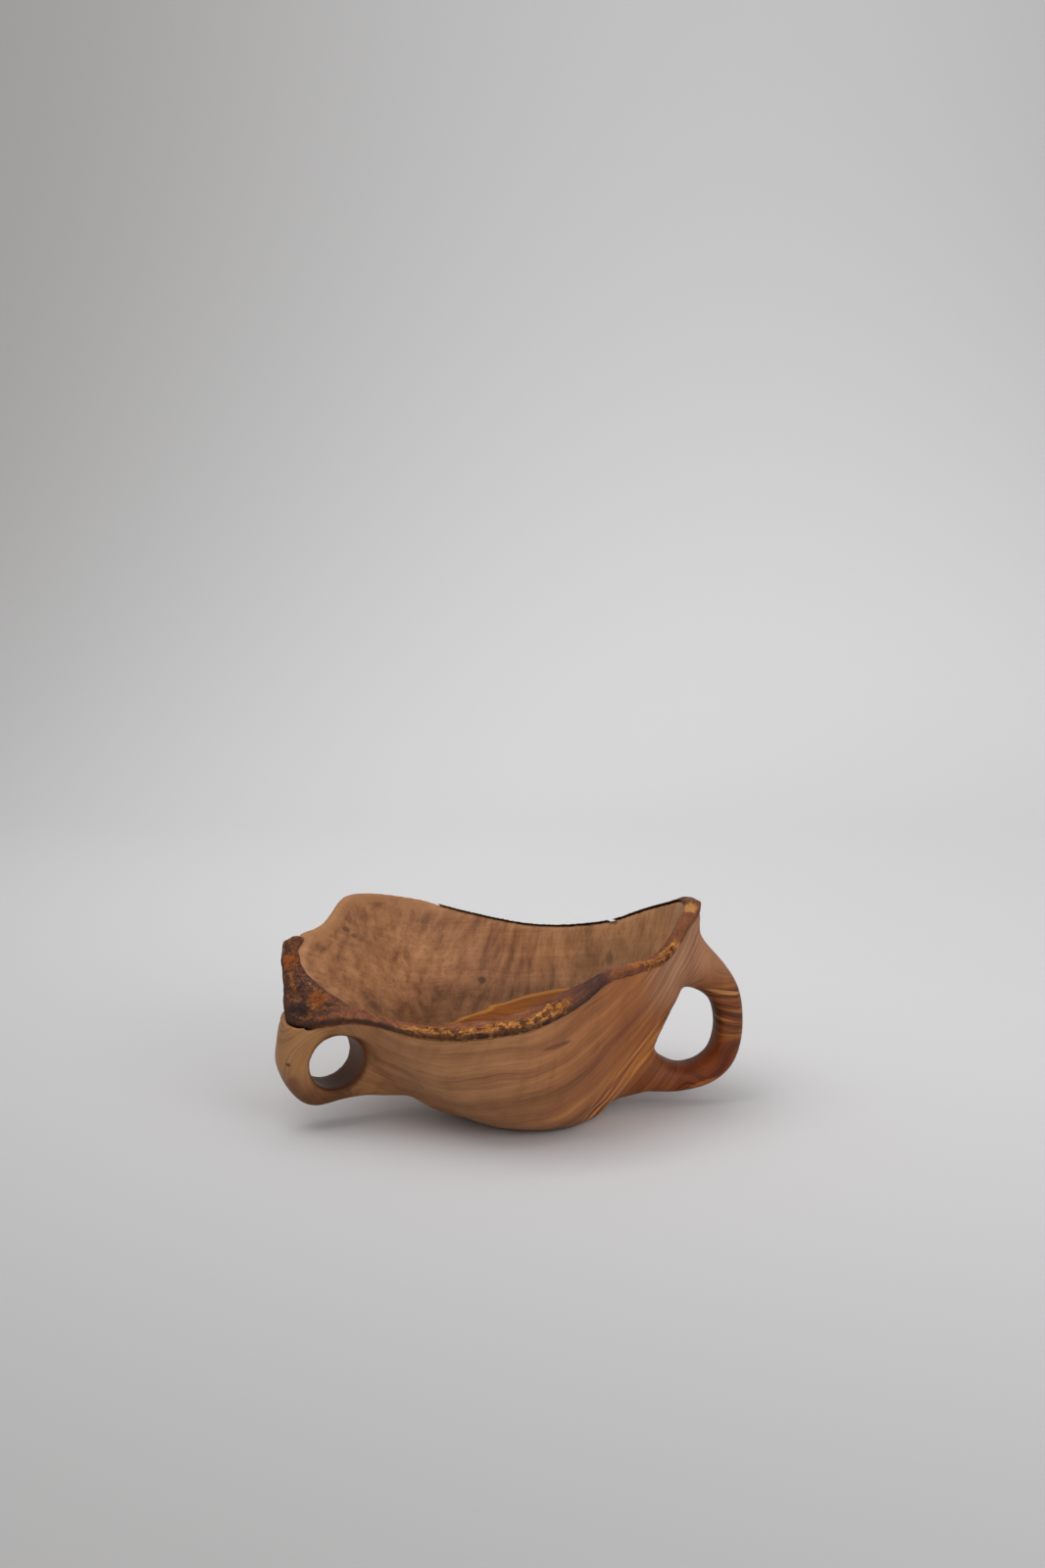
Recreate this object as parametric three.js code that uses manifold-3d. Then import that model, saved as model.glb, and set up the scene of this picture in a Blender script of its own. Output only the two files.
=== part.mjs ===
// A burl bowl carved from one block: an open hollow with a live rim, and a ring handle at each end
// that is part of the same wood. Strips of bark are left on the natural edge along the rim.
// Millimetres, +Z up, +X to the right, +Y to the back. The origin is the middle of the flat foot.
import * as THREE from "three";
import { mergeVertices } from "three/addons/utils/BufferGeometryUtils.js";
import Module from "manifold-3d";

// Foot and floor
const footLength = 90;
const footWidth = 76;
const floorCentre = new THREE.Vector3(-10, 2, 15);
const hollowCentre = new THREE.Vector2(-35, 5);

// The rim, walked round the hollow's centre: bearing from +X, then the outer edge's reach and height,
// the width of the lip across the wall, and how far its inner edge stands above its outer edge.
const RIM = [
  [2, 150, 144, 10, 1],
  [8, 157, 153, 11, 0.5],
  [14, 159, 151, 11, 3],
  [20, 159, 142, 11, 7],
  [33, 152, 129, 11, 7],
  [44, 143, 116, 11, 8],
  [60, 130, 109, 11, 8],
  [75, 123, 109, 11, 8],
  [98, 120, 118, 11, 8],
  [120, 127, 132, 10, 6],
  [140, 133, 143, 9, 3],
  [150, 130, 145, 9, 1],
  [159, 127, 138, 9, 1],
  [169, 129, 132, 8, 1],
  [176, 141, 132, 9, -1],
  [180, 147, 130, 11, -4],
  [185, 148, 119, 14, -4],
  [193, 148, 95, 22, 12],
  [197, 149, 85, 27, 19],
  [202, 138, 81, 23, 19],
  [209, 121, 86, 13, 9],
  [214, 113, 88, 10, 5],
  [222, 105, 88, 8, 3],
  [235, 100, 85, 8, 4],
  [250, 100, 84, 8, 7],
  [268, 106, 88, 10, 9],
  [280, 110, 92, 11, 9],
  [292, 112, 97, 12, 10],
  [303, 112, 104, 10, 11],
  [312, 113, 112, 9, 7],
  [320, 113, 120, 8, 3],
  [329, 116, 121, 8, 3],
  [339, 122, 121, 8, 3],
  [349, 134, 123, 8, 4],
];

// The wall below the rim, round the same bearings: its outward lean at the lip, how far it drops
// straight from the lip, how far the underside runs out from the foot before it turns up, the slope of
// that run, and how far the hollow's floor spreads towards the lip.
const WALL = [
  [0, 2, 55, 20, 30, 0.7],
  [15, 0, 55, 22, 28, 0.7],
  [35, 8, 55, 27, 23, 0.68],
  [60, 10, 50, 34, 18, 0.62],
  [90, 6, 50, 40, 15, 0.55],
  [120, 14, 50, 42, 15, 0.5],
  [150, 26, 50, 42, 18, 0.48],
  [180, 38, 48, 42, 20, 0.46],
  [198, 52, 45, 42, 22, 0.48],
  [212, 42, 45, 42, 22, 0.5],
  [225, 26, 45, 42, 20, 0.5],
  [240, 12, 45, 42, 17, 0.55],
  [270, 0, 45, 40, 14, 0.68],
  [300, 8, 45, 34, 15, 0.7],
  [330, 12, 50, 24, 24, 0.7],
];
const lipCrown = 1.2;
const evenInside = 30;
const evenOutside = 16;

// Bark left on the natural edge: its thickness by bearing, and one piece between each pair of bearings
const BARK_THICKNESS = [
  [17, 2.6],
  [30, 1.5],
  [44, 1.2],
  [90, 1.1],
  [111, 0.8],
  [176, 1.2],
  [186, 4],
  [200, 5],
  [211, 4],
  [225, 3],
  [318, 3],
  [340, 3.4],
  [356, 3.2],
];
const barkGap = 0.35;
const barkRelief = 0.5;
const barkRamp = 2;
const BARK = [
  ["left_ear_bark", 176, 211],
  ["front_rim_bark", 211, 318],
  ["right_rim_bark", 318, 356],
  ["right_peak_bark", 356, 377],
  ["back_rim_bark_right", 377, 404],
  ["back_rim_bark_left", 405.5, 471],
];

// Left handle: a rounded plate with a finger hole bored through it. Its middle, the yaw of the hole's
// axis from +Y, the plate's width along that axis and the rounding of its edge, the hole's half width
// and half height with the rounding of its rims, and the plate's outline left or right of and above
// the hole's middle.
const leftHandle = {
  hole: new THREE.Vector3(-147.2, -24, 50.8),
  yaw: 26.4,
  width: 35.5,
  edge: 10,
  holeHalf: new THREE.Vector2(21, 19),
  holeEdge: 3,
  outline: [
    [78, -25],
    [60, -32],
    [44, -32],
    [25, -30.3],
    [10, -30.3],
    [-4, -31.3],
    [-14, -30.8],
    [-23, -27],
    [-30.5, -20],
    [-35, -10],
    [-37.5, 2],
    [-37, 14],
    [-35.5, 25],
    [-33, 35],
    [-27, 39.5],
    [-17, 38],
    [-6, 36],
    [12, 37],
    [40, 36],
    [70, 16],
  ],
};

// Right handle: a rounded bar bent round its finger hole. The middle of the hole, the yaw of its axis,
// how square the bar's section is, and the bar's centre line beside and above the hole's middle, each
// point with half the bar's thickness and its width along the hole.
const rightHandle = {
  hole: new THREE.Vector3(112, 25, 62),
  yaw: 8,
  squareness: 0.8,
  line: [
    [-16, 58, 26, 48],
    [6, 44, 18.5, 40],
    [19, 34.5, 14, 34],
    [28.5, 21.5, 12, 31],
    [32, 1.5, 10.8, 30],
    [29, -15, 10.3, 30],
    [23, -27, 10, 30],
    [11, -37, 10, 31],
    [-6, -41, 10.5, 33],
    [-26, -36.5, 15, 38],
    [-54, -25, 27, 46],
  ],
};
// How deep a root goes into the wall, and how much room is kept over the lip and beside its bark
const rootDepth = 4;
const lipMiddle = 0.4;
const lipClear = -0.03;
const lipHeadroom = 60;
// How far from a handle's root the corner is eased, and how many times
const rootEase = 16;
const rootPasses = 10;
const rootPull = 0.5;
const lipMargin = 9;
const shortEdge = 0.5;
const shortPasses = 6;

// Facet counts
const roundSteps = 80;
const outsideRows = 14;
const lipRows = 4;
const insideRows = 12;
const barSteps = 32;
const barSides = 16;
const plateSteps = 44;
const plateEdgeRows = 4;
const boreSides = 32;
const boreEdgeRows = 4;
const boreOverrun = 60;

const wasm = await Module();
wasm.setup();

// Values listed by bearing, as a closed function of the bearing in degrees
function around(stations, Interpolant = THREE.CubicInterpolant) {
  const turned = (turn) => stations.map(([bearing, ...values]) => [bearing + turn, ...values]);
  const padded = [...turned(-360), ...turned(0), ...turned(360), ...turned(720)];
  const size = stations[0].length - 1;
  const spline = new Interpolant(
    padded.map((row) => row[0]),
    padded.flatMap((row) => row.slice(1)),
    size,
  );
  return (bearing) => Array.from(spline.evaluate(bearing));
}

const rimAt = around(RIM);
const wallAt = around(WALL);
const barkAt = around(BARK_THICKNESS, THREE.LinearInterpolant);

const outward = (bearing) => {
  const angle = THREE.MathUtils.degToRad(bearing);
  return new THREE.Vector3(Math.cos(angle), Math.sin(angle), 0);
};

// How much of the bark's depth is cut from the rim at a bearing: all of it under bark, none on bare wood.
const barkStart = BARK[0][1];
const barkEnd = BARK[BARK.length - 1][2];
function seatShare(bearing) {
  const turned = THREE.MathUtils.euclideanModulo(bearing - barkStart, 360);
  const run = barkEnd - barkStart;
  if (turned <= run) return 1;
  const away = Math.min(turned - run, 360 - turned);
  return 1 - Math.min(1, away / barkRamp);
}

// A point on the lip: share 0 is its outer edge and 1 its inner edge, and lift is measured square to it.
function lipPoint(bearing, share, lift) {
  const [reach, height, lip, rise] = rimAt(bearing);
  const out = outward(bearing);
  const slant = Math.hypot(lip, rise);
  const square = out.clone().multiplyScalar(rise / slant).setZ(lip / slant);
  const crown = lipCrown * 4 * share * (1 - share);
  return out
    .multiplyScalar(reach - lip * share)
    .add(new THREE.Vector3(hollowCentre.x, hollowCentre.y, height + rise * share))
    .addScaledVector(square, crown + lift);
}

const seatLift = (bearing) => -(barkAt(bearing)[0] + barkGap) * seatShare(bearing);

// The wall's upward direction at the lip
function wallUp(bearing) {
  const lean = THREE.MathUtils.degToRad(wallAt(bearing)[0]);
  return outward(bearing).multiplyScalar(Math.sin(lean)).setZ(Math.cos(lean));
}

// The outside at a bearing, from the edge of the foot up to the lip
function outsideCurve(bearing) {
  const [, drop, run, rise] = wallAt(bearing);
  const out = outward(bearing);
  const foot = new THREE.Vector3((out.x * footLength) / 2, (out.y * footWidth) / 2, 0);
  const slope = THREE.MathUtils.degToRad(rise);
  const turn = foot.clone().addScaledVector(out, run * Math.cos(slope));
  turn.z = run * Math.sin(slope);
  const lip = lipPoint(bearing, 0, seatLift(bearing));
  const shoulder = lip.clone().addScaledVector(wallUp(bearing), -drop);
  return new THREE.CubicBezierCurve3(foot, turn, shoulder, lip);
}

// The inside at a bearing, from the lip down to the middle of the floor
function insideCurve(bearing) {
  const [, drop, , , spread] = wallAt(bearing);
  const lip = lipPoint(bearing, 1, seatLift(bearing));
  const shoulder = lip.clone().addScaledVector(wallUp(bearing), -drop);
  const turn = floorCentre.clone().lerp(lip, spread).setZ(floorCentre.z);
  return new THREE.CubicBezierCurve3(lip, shoulder, turn, floorCentre);
}

// Bearings of the loft: even steps, and the ends of each bark piece and of the ramps beside them
function loftBearings() {
  const even = Array.from({ length: roundSteps }, (_, i) => (i * 360) / roundSteps);
  const ends = BARK.flatMap(([, from, to]) => [from, to]);
  const forced = [...ends, barkStart - barkRamp, barkEnd + barkRamp].map((b) => b % 360);
  const kept = even.filter((b) => forced.every((f) => Math.abs(b - f) > 120 / roundSteps));
  return [...new Set([...kept, ...forced])].sort((a, b) => a - b);
}
const bearings = loftBearings();

// A closed surface through rings of points, with a flat fan at each end
function loft(rings) {
  const sides = rings[0].length;
  const middle = (ring) => ring.reduce((sum, p) => sum.add(p), new THREE.Vector3()).divideScalar(sides);
  const first = rings[0];
  const last = rings[rings.length - 1];
  const points = [...rings.flat(), middle(first), middle(last)];
  const firstMiddle = points.length - 2;
  const lastMiddle = points.length - 1;
  const index = [];
  for (let side = 0; side < sides; side++) {
    const next = (side + 1) % sides;
    index.push(firstMiddle, next, side);
    for (let row = 0; row < rings.length - 1; row++) {
      const a = row * sides;
      const b = a + sides;
      index.push(a + side, a + next, b + next, a + side, b + next, b + side);
    }
    const end = (rings.length - 1) * sides;
    index.push(lastMiddle, end + side, end + next);
  }
  return new THREE.BufferGeometry().setFromPoints(points).setIndex(index);
}

// three.js geometry to a solid for cutting and joining, and back
function toSolid(geometry) {
  const bare = geometry.clone();
  bare.deleteAttribute("normal");
  bare.deleteAttribute("uv");
  const merged = mergeVertices(bare, 1e-4);
  const mesh = new wasm.Mesh({
    numProp: 3,
    vertProperties: merged.attributes.position.array,
    triVerts: new Uint32Array(merged.index.array),
  });
  return new wasm.Manifold(mesh);
}

function toGeometry(points, faces) {
  const geometry = new THREE.BufferGeometry().setFromPoints(points).setIndex(faces.flat());
  const merged = mergeVertices(geometry, 1e-6);
  merged.computeVertexNormals();
  return merged;
}

// The corners next to each corner of a mesh
function neighbourSets(count, faces) {
  const sets = Array.from({ length: count }, () => new Set());
  for (const face of faces) {
    for (const corner of face) {
      face.filter((other) => other !== corner).forEach((other) => sets[corner].add(other));
    }
  }
  return sets;
}

// Closes up edges too short to matter, which joining leaves along a seam
function withoutShortEdges(points, faces) {
  const neighbours = neighbourSets(points.length, faces);
  const stands = points.map((_, i) => i);
  const settled = new Set();
  for (const face of faces) {
    for (let i = 0; i < 3; i++) {
      const [keep, drop] = [face[i], face[(i + 1) % 3]];
      const around = [...neighbours[keep], ...neighbours[drop]];
      const shared = [...neighbours[keep]].filter((n) => neighbours[drop].has(n));
      const free = around.every((n) => !settled.has(n)) && shared.length === 2;
      if (!free || points[keep].distanceTo(points[drop]) > shortEdge) continue;
      stands[drop] = keep;
      around.forEach((n) => settled.add(n));
    }
  }
  const moved = faces.map((face) => face.map((corner) => stands[corner]));
  return moved.filter(([a, b, c]) => a !== b && b !== c && c !== a);
}

const shares = (count) => Array.from({ length: count }, (_, i) => i / (count - 1));

// A row of points round the bowl, each moved towards its neighbours, for a wall that runs evenly below
// an uneven rim
function evened(row, passes) {
  let points = row;
  for (let pass = 0; pass < passes; pass++) {
    points = points.map((p, i) => {
      const before = points.at(i - 1);
      const after = points[(i + 1) % points.length];
      return p.clone().multiplyScalar(2).add(before).add(after).divideScalar(4);
    });
  }
  return points;
}

// The bowl without its handles: foot, outside, lip, inside and floor in one loft
function shellGeometry() {
  const rings = [];
  for (const share of shares(outsideRows)) {
    const row = bearings.map((b) => outsideCurve(b).getPoint(share));
    rings.push(evened(row, Math.round(evenOutside * (1 - share) * share)));
  }
  for (const share of shares(lipRows + 2).slice(1, -1)) {
    rings.push(bearings.map((b) => lipPoint(b, share, seatLift(b))));
  }
  for (const share of shares(insideRows + 1).slice(0, -1)) {
    const row = bearings.map((b) => insideCurve(b).getPoint(share));
    rings.push(evened(row, Math.round(evenInside * share)));
  }
  return loft(rings);
}

// What a handle's root may not reach into: the hollow as far as the middle of the wall, and the space
// over the lip
function rootLimitGeometry() {
  const rings = [];
  for (const share of shares(insideRows + 1).slice(0, -1).reverse()) {
    const depth = new THREE.Vector3(0, 0, -rootDepth);
    const middle = (b) => insideCurve(b).getPoint(share).add(depth).addScaledVector(outward(b), rootDepth);
    rings.push(bearings.map(middle));
  }
  for (const share of [lipMiddle, lipClear]) {
    rings.push(bearings.map((b) => lipPoint(b, share, seatLift(b))));
  }
  rings.push(bearings.map((b) => lipPoint(b, lipClear, lipHeadroom)));
  return loft(rings);
}

// Directions of a handle: beside the hole, and through it to the back
function handleAxes({ yaw }) {
  const turn = THREE.MathUtils.degToRad(yaw);
  return {
    across: new THREE.Vector3(Math.cos(turn), Math.sin(turn), 0),
    through: new THREE.Vector3(-Math.sin(turn), Math.cos(turn), 0),
    up: new THREE.Vector3(0, 0, 1),
  };
}

// Steps of a quarter round of a given radius: how far along from its start, and how far in
function quarterRound(radius, rows) {
  return shares(rows).map((share) => {
    const turn = (share * Math.PI) / 2;
    return [radius * (1 - Math.cos(turn)), radius * (1 - Math.sin(turn))];
  });
}

// The left handle's plate, without its hole
function plateGeometry(handle) {
  const { across, through, up } = handleAxes(handle);
  const corners = handle.outline.map(([side, rise]) => new THREE.Vector3(side, rise, 0));
  const outline = new THREE.CatmullRomCurve3(corners, true);
  const front = quarterRound(handle.edge, plateEdgeRows).map(([along, inset]) => [along - handle.width / 2, inset]);
  const back = front.map(([along, inset]) => [-along, inset]).reverse();
  const ring = ([along, inset]) =>
    Array.from({ length: plateSteps }, (_, i) => {
      const point = outline.getPointAt(i / plateSteps);
      const tangent = outline.getTangentAt(i / plateSteps);
      return handle.hole
        .clone()
        .addScaledVector(through, along)
        .addScaledVector(across, point.x + tangent.y * inset)
        .addScaledVector(up, point.y - tangent.x * inset);
    });
  return loft([...front, ...back].map(ring));
}

// The left handle's finger hole, flared at both rims, running on past both faces
function boreGeometry(handle) {
  const { across, through, up } = handleAxes(handle);
  const half = handle.width / 2;
  const flare = quarterRound(handle.holeEdge, boreEdgeRows).map(([along, grow]) => [half - along, grow]);
  const far = [[half + boreOverrun, handle.holeEdge], ...flare];
  const near = far.map(([along, grow]) => [-along, grow]).reverse();
  const ring = ([along, grow]) =>
    Array.from({ length: boreSides }, (_, i) => {
      const angle = (i * 2 * Math.PI) / boreSides;
      return handle.hole
        .clone()
        .addScaledVector(through, along)
        .addScaledVector(across, (handle.holeHalf.x + grow) * Math.cos(angle))
        .addScaledVector(up, (handle.holeHalf.y + grow) * Math.sin(angle));
    });
  return loft([...far, ...near].map(ring));
}

// The right handle: a rounded section that grows towards both roots
function barGeometry(handle) {
  const { across, through } = handleAxes(handle);
  const { hole, squareness, line } = handle;
  const at = ([side, rise]) => hole.clone().addScaledVector(across, side).setZ(hole.z + rise);
  const path = new THREE.CatmullRomCurve3(line.map(at));
  const steps = line.map((_, i) => i);
  const section = new THREE.CubicInterpolant(steps, line.flatMap(([, , half, width]) => [half, width / 2]), 2);
  const bulge = (value) => Math.sign(value) * Math.abs(value) ** squareness;
  const rings = shares(barSteps + 1).map((share) => {
    const middle = path.getPoint(share);
    const radial = through.clone().cross(path.getTangent(share)).normalize();
    const [half, halfWidth] = section.evaluate(share * (line.length - 1));
    return Array.from({ length: barSides }, (_, i) => {
      const angle = (i * 2 * Math.PI) / barSides;
      return middle
        .clone()
        .addScaledVector(radial, half * bulge(Math.cos(angle)))
        .addScaledVector(through, halfWidth * bulge(Math.sin(angle)));
    });
  });
  return loft(rings);
}

// The body's mesh with the corner eased where a handle grows out of the wall: corners of the mesh near
// the seam between the two move towards the middle of their neighbours, less the further they are from
// it. The lip, where the bark sits, and the bored hole are left alone.
function easedGeometry({ vertProperties, triVerts, runIndex, runOriginalID }) {
  const count = vertProperties.length / 3;
  const points = Array.from({ length: count }, (_, i) => new THREE.Vector3().fromArray(vertProperties, i * 3));
  const sources = points.map(() => new Set());
  let faces = [];
  runOriginalID.forEach((id, run) => {
    for (let i = runIndex[run]; i < runIndex[run + 1]; i += 3) {
      const face = [triVerts[i], triVerts[i + 1], triVerts[i + 2]];
      face.forEach((corner) => sources[corner].add(id));
      faces.push(face);
    }
  });
  const joined = (i) => sources[i].has(shellId) && handleIds.some((id) => sources[i].has(id));
  const seam = points.filter((_, i) => joined(i));
  for (let pass = 0; pass < shortPasses; pass++) {
    faces = withoutShortEdges(points, faces);
  }
  const neighbours = neighbourSets(count, faces);
  const weights = points.map((p, i) => {
    const bearing = THREE.MathUtils.radToDeg(Math.atan2(p.y - hollowCentre.y, p.x - hollowCentre.x));
    const lipHeight = rimAt(THREE.MathUtils.euclideanModulo(bearing, 360))[1];
    const away = Math.min(...seam.map((q) => p.distanceTo(q)));
    const held = sources[i].has(boreId) || p.z > lipHeight - lipMargin;
    return held ? 0 : Math.max(0, 1 - away / rootEase) * rootPull;
  });
  for (let pass = 0; pass < rootPasses; pass++) {
    const moved = points.map((p, i) => {
      const middle = new THREE.Vector3();
      neighbours[i].forEach((j) => middle.addScaledVector(points[j], 1 / neighbours[i].size));
      return p.clone().lerp(middle, neighbours[i].size ? weights[i] : 0);
    });
    moved.forEach((p, i) => points[i].copy(p));
  }
  return toGeometry(points, faces);
}

// One piece of bark, lying on its seat between two bearings
function barkGeometry(from, to) {
  const unwrapped = bearings.flatMap((b) => [b, b + 360]).filter((b) => b >= from && b <= to);
  unwrapped.sort((a, b) => a - b);
  const across = shares(lipRows + 2);
  const relief = (b, share) =>
    barkRelief * Math.sin(b * 1.7 + share * 5) * Math.sin(b * 0.83 - share * 3) * Math.sin(Math.PI * share);
  const ring = (b) => [
    ...across.map((share) => lipPoint(b, share, -barkAt(b)[0])),
    ...across.map((share) => lipPoint(b, 1 - share, relief(b, 1 - share))),
  ];
  const rings = unwrapped.map(ring);
  const pull = (end, next) => end.map((p, i) => p.clone().lerp(next[i], barkGap / p.distanceTo(next[i])));
  const count = rings.length;
  const head = pull(rings[0], rings[1]);
  const tail = pull(rings[count - 1], rings[count - 2]);
  return loft([head, ...rings.slice(1, -1), tail]);
}

const carvedWood = new THREE.MeshStandardMaterial({ color: 0x8a6244, roughness: 0.55, metalness: 0 });
const bark = new THREE.MeshStandardMaterial({ color: 0x5f3620, roughness: 0.8, metalness: 0 });

const bowl = new THREE.Group();

const sourceId = (solid) => solid.getMesh().runOriginalID[0];
const rootLimit = toSolid(rootLimitGeometry());
const shell = toSolid(shellGeometry());
const handles = [toSolid(plateGeometry(leftHandle)), toSolid(barGeometry(rightHandle))];
const bore = toSolid(boreGeometry(leftHandle));
const shellId = sourceId(shell);
const handleIds = handles.map(sourceId);
const boreId = sourceId(bore);
const withHandles = handles.reduce((sum, handle) => sum.add(handle.subtract(rootLimit)), shell);
const body = withHandles.subtract(bore);
const bodyMesh = new THREE.Mesh(easedGeometry(body.getMesh()), carvedWood);
bodyMesh.name = "bowl_body";
bowl.add(bodyMesh);

for (const [name, from, to] of BARK) {
  const piece = new THREE.Mesh(barkGeometry(from, to), bark);
  piece.name = name;
  bowl.add(piece);
}

export default bowl;
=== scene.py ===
import math
from types import SimpleNamespace
import bpy
import numpy as np
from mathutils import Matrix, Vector
from mathutils.bvhtree import BVHTree


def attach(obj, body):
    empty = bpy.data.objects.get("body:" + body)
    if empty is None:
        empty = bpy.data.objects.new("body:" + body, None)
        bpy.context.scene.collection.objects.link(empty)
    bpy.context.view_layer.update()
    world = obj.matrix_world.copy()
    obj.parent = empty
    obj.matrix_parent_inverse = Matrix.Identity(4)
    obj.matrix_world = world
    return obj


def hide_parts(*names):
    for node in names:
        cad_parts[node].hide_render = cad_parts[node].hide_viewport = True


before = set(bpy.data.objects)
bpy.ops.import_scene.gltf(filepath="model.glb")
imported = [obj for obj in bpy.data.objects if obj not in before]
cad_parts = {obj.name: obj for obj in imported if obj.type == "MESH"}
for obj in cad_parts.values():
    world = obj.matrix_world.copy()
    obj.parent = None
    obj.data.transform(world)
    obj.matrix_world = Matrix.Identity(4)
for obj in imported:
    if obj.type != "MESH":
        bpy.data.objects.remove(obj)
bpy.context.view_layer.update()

MM = 0.001

# Middle of the hollow, which the bark on the rim runs round, and the bearings of the bare rim
HOLLOW_X = -35 * MM
HOLLOW_Y = 5 * MM
BARE_RIM = (112, 175)

# The finger holes: middle in millimetres and the yaw of the axis
LEFT_HOLE = (-147.2, -24, 50.8)
LEFT_YAW = 26.4
RIGHT_HOLE = (112, 25, 62)
RIGHT_YAW = 8

# The right-hand turn of the wall, as a line seen from the front: how the distance from it grows along
# x and up z, and what it is at the origin, in metres
TURN_ALONG = 0.7486
TURN_UP = -0.6638
TURN_OFFSET = -0.0268

# The upper border of the sapwood: how it rises along x, and its height at the left and right, in metres
SAP_RISE = 0.204
SAP_LEFT = 0.0645
SAP_RIGHT = 0.068

# Fineness of the meshes, how near to each other loose corners are joined, and how far the faces
# that are joined may bend or skew, in degrees
WOOD_GRID = 1.78 * MM
BARK_GRID = 0.75 * MM
JOINED_WITHIN = 0.002 * MM
JOINED_BEND = 35
JOINED_SKEW = 50

# Passes of sanding all over, and where the wood is sanded rounder still: place and reach in
# millimetres, and passes. SANDED_OUT is how many reaches away that extra sanding has faded out
SANDING = 5
SANDED = (
    ("handle_root", (-92, -2, 22), 34, 18),
    ("ear_shoulder", (-168, -47, 83), 12, 21),
)
SANDED_OUT = 1.4

# Where wood and bark are eased out together: place, reach and shift, all in millimetres
EASED = (
    ("ear_top", (-172, 8, 128), 16, (-1, 0, -2.5)),
    ("ear_foot", (-180, -35, 84), 24, (-1.6, 0, 0)),
    ("left_side", (-181, -44, 50), 27, (-3, 0, 0)),
    ("left_turn", (-165, -44, 22), 30, (-1, 0, -3)),
    ("left_root", (-78, -12, 17), 50, (-3.5, 0, -4.5)),
    ("ear_edge", (-168, -42, 82), 14, (0, 0, -2.5)),
    ("hole_wall", (90, 5, 53), 26, (4.5, 0, 0)),
    ("neck_wall", (100, 8, 82), 20, (4.5, 0, 0)),
    ("right_turn", (142, 20, 34), 40, (2, 0, -2)),
    ("peak", (117, 22, 150), 24, (2.5, 0, -1.5)),
    ("mid_wall", (95, 6, 67), 14, (2, 0, 0)),
    ("limb_root", (67, 2, 17), 21, (0, 0, -4.5)),
    ("foot_right", (42, -30, 7), 20, (-5, 0, 1.5)),
)

# Where the wood alone is eased, under the ear's bark
WOOD_EASED = (
    ("ear_lip", (-165, -48, 82), 14, (0, 0.5, -3)),
)

# Height above the foot at which easing has its full effect
CLEAR_OF_FOOT = 12 * MM

# The lip's depth below its top, a reach within which the hollow is all floor, how far from the bark
# the wood still counts as near it, and how steeply a face turns up or in to count as floor or inside
LIP_DEPTH = 6 * MM
FLOOR_REACH = 30 * MM
NEAR_BARK = 30 * MM
FACES_UP = 0.7
FACES_IN = 0.4

# How often the marks of the hollow and of the cut edge are evened out at their borders
HOLLOW_EVENED = 4
CUT_EVENED = 2

# Stretches of bark, each named for the solid it dresses, with the bearings it is cut between
# and how far each cut is askew, in degrees
STRETCHES = (
    ("left_ear_bark", 165, 211, 0, 0),
    ("front_rim_bark", 211, 318, 0, 0),
    ("right_rim_bark", 318, 356, 0, 0),
    ("right_peak_bark", 356, 377, 0, 0),
    ("back_rim_bark_right", 377, 404.6, 0, 10),
    ("back_rim_bark_left", 405.1, 471, -10, -62),
)
BARK_START = 143.5

# Degrees of bark left past a cut until it is made, degrees beside a cut and beside a station in
# which the edges of the bark are looked for, and a reach that no inner edge has
SPARE_TURN = 9
CUT_SEARCH = 2
STATION_SEARCH = 0.3
PAST_RIM = 150 * MM

# How rough the bark is, by bearing
ROUGHNESS = (
    (176, 0.3),
    (184, 1.0),
    (202, 1.0),
    (212, 0.3),
    (300, 0.35),
    (318, 0.3),
    (335, 0.5),
    (345, 0.45),
    (360, 0.2),
    (380, 0.45),
    (404, 0.65),
    (440, 0.6),
    (471, 0.25),
)

# How far the top of the bark is thinned, and how much of that by bearing
THINNING = 1.6 * MM
THINNED = (
    (370, 0.0),
    (378, 0.9),
    (385, 0.9),
    (395, 0.7),
    (471, 0.65),
)

# How far the stretches of bark are swelled so that they meet, before they become one strip
CLOSING = 0.4 * MM

# Bearings at which the bark of the ear ends, is all there and is crumbly right across, and the
# degrees over which its wear fades
EAR_END = 214
EAR_FULL = 204
EAR_CRUMBLY = 206
EAR_WEAR_FADE = 12

# The sweep of paper: its size, where it turns up, the height of its back and its turn, in metres.
# It is palest at one spot, and the distance from there counts for more along x
SWEEP_SIZE = 8.0
FLOOR_BACK = 2.4
WALL_HEIGHT = 4.0
SWEEP_TURN = 1.3
SWEEP_TURN_STEPS = 32
PALE_STRETCH = 1.2
PALE_OFFSET = 0.64
PALE_BACK = 0.92

# Soft lamps: place and target, width and height in metres, and watts
LAMPS = (
    ("top_light", (-0.65, -0.3, 1.85), (0.0, 0.05, 0.0), (1.4, 1.2), 11.5),
    ("front_light", (1.3, -1.6, 1.0), (0.0, 0.0, 0.05), (1.4, 1.0), 12),
    ("wall_light", (-0.2, 0.7, 2.3), (-0.5, 2.4, 1.2), (2.8, 0.8), 19),
)
SKY_STRENGTH = 0.55

# The camera: lens and film width in millimetres, place in metres, and tilt up from straight down
LENS = 50
FILM_WIDTH = 36
CAMERA_PLACE = (-0.00864, -1.53368, 0.51611)
CAMERA_TILT = 80


# Working on one piece at a time

def take_up(piece):
    bpy.ops.object.select_all(action="DESELECT")
    piece.select_set(True)
    bpy.context.view_layer.objects.active = piece


def finish_modifiers(piece):
    take_up(piece)
    for modifier in list(piece.modifiers):
        bpy.ops.object.modifier_apply(modifier=modifier.name)


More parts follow.
